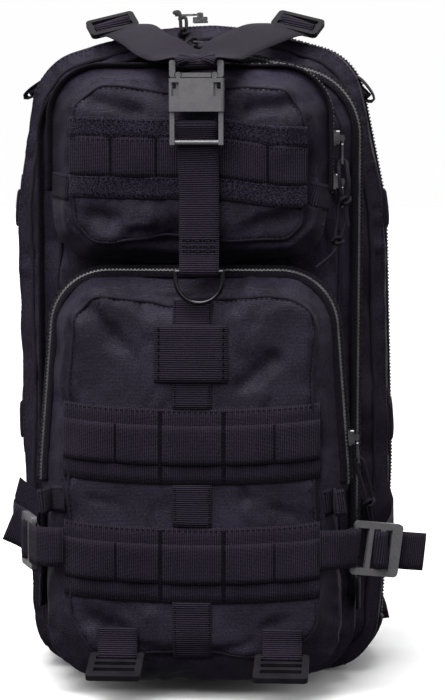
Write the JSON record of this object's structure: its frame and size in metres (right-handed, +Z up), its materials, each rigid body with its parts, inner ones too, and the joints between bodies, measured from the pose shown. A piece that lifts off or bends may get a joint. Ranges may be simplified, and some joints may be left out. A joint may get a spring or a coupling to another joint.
{
  "type": "trauma backpack",
  "caption": "Zipped two-compartment first responder backpack with front pockets, webbing rows, side straps, a quick-release front strap and padded shoulder straps.",
  "frame": {"origin": "on the ground under the pack, in its plane of symmetry; y = 0 lies 20 mm behind the front of the main compartment", "axes": "+Z up, the front pockets face -Y, +X to the right of a viewer who faces the front"},
  "size_m": [0.2866, 0.297, 0.4576],
  "materials": {
    "pack_fabric": "coated polyester weave, purplish black",
    "webbing": "ribbed polyester webbing",
    "loop_fabric": "looped pile",
    "lining": "thin coated nylon",
    "mesh_fabric": "spacer mesh over foam",
    "buckle_plastic": "satin moulded acetal",
    "sheet_plastic": "polyethylene sheet",
    "coil": "nylon coil on woven tape",
    "dark_metal": "black coated steel",
    "cord": "braided cord"
  },
  "bodies": {
    "pack": {"back_pads": "mesh_fabric", "buckle_female": "buckle_plastic", "buckle_tabs": "webbing", "carry_handle": "webbing", "centre_webbing": "webbing", "compression_webbing": "webbing", "frame_sheet": "sheet_plastic", "front_strap": "webbing", "hydration_sleeve": "lining", "loop_patch": "webbing", "loop_strips": "loop_fabric", "lower_pocket": "pack_fabric", "lower_zipper": "coil", "main_compartment": "pack_fabric", "main_zipper": "coil", "middle_compartment": "pack_fabric", "middle_zipper": "coil", "pals_backing": "webbing", "pals_webbing": "webbing", "shoulder_strap_left": "mesh_fabric", "shoulder_strap_right": "mesh_fabric", "sternum_buckle_female": "buckle_plastic", "sternum_webbing_left": "webbing", "strap_gussets": "pack_fabric", "strap_webbing": "webbing", "strap_yoke": "pack_fabric", "top_glides": "buckle_plastic", "upper_pocket": "pack_fabric", "upper_zipper": "coil", "y_strap": "webbing"},
    "buckle_plug": {"buckle_male": "buckle_plastic", "y_strap_loop": "webbing"},
    "plug_arm_left": {"buckle_arm_left": "buckle_plastic"},
    "plug_arm_right": {"buckle_arm_right": "buckle_plastic"},
    "ring": {"d_ring": "dark_metal"},
    "side_lock_left": {"compression_lock_left": "buckle_plastic", "compression_tail_left": "webbing"},
    "side_lock_right": {"compression_lock_right": "buckle_plastic", "compression_tail_right": "webbing"},
    "base_lock_left": {"lash_lock_left": "buckle_plastic"},
    "base_lock_right": {"lash_lock_right": "buckle_plastic"},
    "shoulder_lock_left": {"strap_lock_left": "buckle_plastic"},
    "shoulder_lock_right": {"strap_lock_right": "buckle_plastic"},
    "chest_plug": {"sternum_buckle_male": "buckle_plastic", "sternum_webbing_right": "webbing"},
    "main_slider": {"main_slider": "dark_metal"},
    "main_tab": {"main_pull": "dark_metal", "main_cord": "cord"},
    "middle_slider": {"middle_slider": "dark_metal"},
    "middle_tab": {"middle_pull": "dark_metal", "middle_cord": "cord"},
    "upper_high_slider": {"upper_high_slider": "dark_metal"},
    "upper_high_tab": {"upper_high_pull": "dark_metal", "upper_high_cord": "cord"},
    "upper_low_slider": {"upper_low_slider": "dark_metal"},
    "upper_low_tab": {"upper_low_pull": "dark_metal", "upper_low_cord": "cord"},
    "lower_slider": {"lower_slider": "dark_metal"},
    "lower_tab": {"lower_pull": "dark_metal", "lower_cord": "cord"}
  },
  "joints": [
    {"name": "buckle_release", "type": "slide", "parent": "pack", "child": "buckle_plug", "axis": [0, 0, 1], "range_m": [0, 0.012]},
    {"name": "buckle_arm_press_right", "type": "hinge", "parent": "buckle_plug", "child": "plug_arm_right", "pos_m": [0.0161, -0.127, 0.405], "axis": [0, 1, 0], "range_deg": [0, 16.49]},
    {"name": "buckle_arm_press_left", "type": "hinge", "parent": "buckle_plug", "child": "plug_arm_left", "pos_m": [-0.0071, -0.127, 0.405], "axis": [0, -1, 0], "range_deg": [0, 16.49]},
    {"name": "d_ring_swing", "type": "hinge", "parent": "pack", "child": "ring", "pos_m": [0.0055, -0.1216, 0.2805], "axis": [1, 0, 0], "range_deg": [-150, 0]},
    {"name": "side_lock_tilt_right", "type": "hinge", "parent": "pack", "child": "side_lock_right", "pos_m": [0.105, -0.106, 0.102], "axis": [0.1259, 0.002, 0.992], "range_deg": [-25, 3]},
    {"name": "side_lock_tilt_left", "type": "hinge", "parent": "pack", "child": "side_lock_left", "pos_m": [-0.1048, -0.102, 0.102], "axis": [0, 0, -1], "range_deg": [-25, 3]},
    {"name": "base_lock_swing_left", "type": "hinge", "parent": "pack", "child": "base_lock_left", "pos_m": [-0.0475, -0.122, 0.032], "axis": [-1, 0, 0], "range_deg": [-35, 34]},
    {"name": "base_lock_swing_right", "type": "hinge", "parent": "pack", "child": "base_lock_right", "pos_m": [0.059, -0.122, 0.032], "axis": [-1, 0, 0], "range_deg": [-35, 34]},
    {"name": "shoulder_lock_tilt_left", "type": "hinge", "parent": "pack", "child": "shoulder_lock_left", "pos_m": [-0.0895, 0.1195, 0.146], "axis": [0.9947, -0.0006, -0.1024], "range_deg": [0, 40]},
    {"name": "shoulder_lock_tilt_right", "type": "hinge", "parent": "pack", "child": "shoulder_lock_right", "pos_m": [0.0895, 0.1195, 0.146], "axis": [0.9947, 0.0006, 0.1024], "range_deg": [0, 40]},
    {"name": "chest_buckle_release", "type": "slide", "parent": "pack", "child": "chest_plug", "axis": [1, 0, 0], "range_m": [0, 0.018]},
    {"name": "main_slider_run", "type": "hinge", "parent": "pack", "child": "main_slider", "pos_m": [0, 0.037, 0.24744], "axis": [0, 1, 0], "range_deg": [-4, 9]},
    {"name": "middle_slider_run", "type": "hinge", "parent": "pack", "child": "middle_slider", "pos_m": [0, -0.05, 0.22303], "axis": [0, 1, 0], "range_deg": [-5, 5]},
    {"name": "upper_high_slider_run", "type": "slide", "parent": "pack", "child": "upper_high_slider", "axis": [0, 0, 1], "range_m": [0, 0.01]},
    {"name": "upper_low_slider_run", "type": "slide", "parent": "pack", "child": "upper_low_slider", "axis": [0, 0, 1], "range_m": [-0.002, 0.003]},
    {"name": "lower_slider_run", "type": "slide", "parent": "pack", "child": "lower_slider", "axis": [-0.0761, 0, 0.9971], "range_m": [-0.008, 0.066]},
    {"name": "main_tab_swing", "type": "hinge", "parent": "main_slider", "child": "main_tab", "pos_m": [-0.00621, 0.037, 0.45435], "axis": [0, 1, 0], "range_deg": [0, 45]},
    {"name": "middle_tab_swing", "type": "hinge", "parent": "middle_slider", "child": "middle_tab", "pos_m": [0.01242, -0.05, 0.42966], "axis": [0, 1, 0], "range_deg": [0, 23]},
    {"name": "upper_high_tab_swing", "type": "hinge", "parent": "upper_high_slider", "child": "upper_high_tab", "pos_m": [0.096, -0.085, 0.366], "axis": [0, -1, 0], "range_deg": [0, 90]},
    {"name": "upper_low_tab_swing", "type": "hinge", "parent": "upper_low_slider", "child": "upper_low_tab", "pos_m": [0.096, -0.085, 0.338], "axis": [0, -1, 0], "range_deg": [0, 90]},
    {"name": "lower_tab_swing", "type": "hinge", "parent": "lower_slider", "child": "lower_tab", "pos_m": [0.10628, -0.094, 0.17253], "axis": [0, -1, 0], "range_deg": [0, 90]}
  ],
  "couplings": [
    {"joint": "buckle_arm_press_right", "follows": "buckle_release", "rad_per_m": 23.5},
    {"joint": "buckle_arm_press_left", "follows": "buckle_release", "rad_per_m": 23.5}
  ]
}
